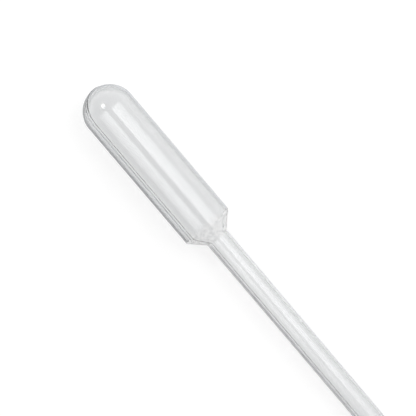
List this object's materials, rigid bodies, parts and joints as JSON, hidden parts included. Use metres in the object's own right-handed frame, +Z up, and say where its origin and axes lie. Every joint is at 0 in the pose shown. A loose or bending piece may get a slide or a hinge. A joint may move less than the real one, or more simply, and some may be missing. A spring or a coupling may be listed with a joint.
{
  "type": "dropper pipette",
  "caption": "One-piece moulded plastic dropper pipette: domed squeeze bulb, conical shoulder, hollow straight stem and drawn drop tip, lying on its side.",
  "frame": {"origin": "on the surface that the pipette lies on, under the middle of its length and its axis", "axes": "+Z up; +X along the pipette, from the bulb to the drop tip; the axis leans 2.34 degrees down towards the tip, as it lies on the shoulder's rim and the rim of the tip"},
  "size_m": [0.1502, 0.012, 0.0133],
  "materials": {
    "clear_plastic": "translucent, slightly hazy low-density polyethylene with a soft gloss"
  },
  "bodies": {
    "root": {"pipette": "clear_plastic"}
  },
  "joints": []
}
